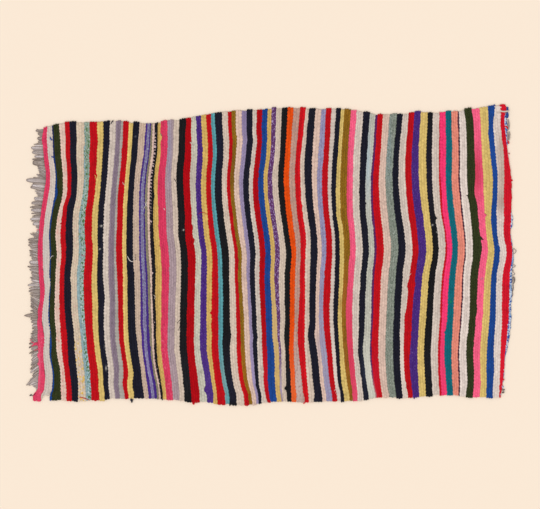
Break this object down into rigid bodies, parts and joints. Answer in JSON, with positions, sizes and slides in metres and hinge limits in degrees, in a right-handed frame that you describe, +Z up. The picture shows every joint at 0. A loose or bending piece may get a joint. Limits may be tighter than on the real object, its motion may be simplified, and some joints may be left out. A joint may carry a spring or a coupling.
{
  "type": "rag rug",
  "caption": "Flat hand-woven rag rug with narrow stripes across it, a loose warp fringe at one end and a crumpled printed rag at the other.",
  "frame": {"origin": "centre of the rug's box, on the floor that its flat underside lies on", "axes": "+X along the rug, across its stripes, from the fringed end to the printed end; +Y along the stripes, from foot to head; +Z up, out of the worn face"},
  "size_m": [1.9655, 1.2107, 0.008],
  "materials": {
    "rag_weave": "matt, ribbed rag weave in many colours",
    "warp_yarn": "matt grey-brown cotton yarn",
    "printed_rag": "matt printed cotton, crumpled"
  },
  "bodies": {
    "root": {"rug_cloth": "rag_weave", "warp_fringe": "warp_yarn", "end_rag": "printed_rag"}
  },
  "joints": []
}
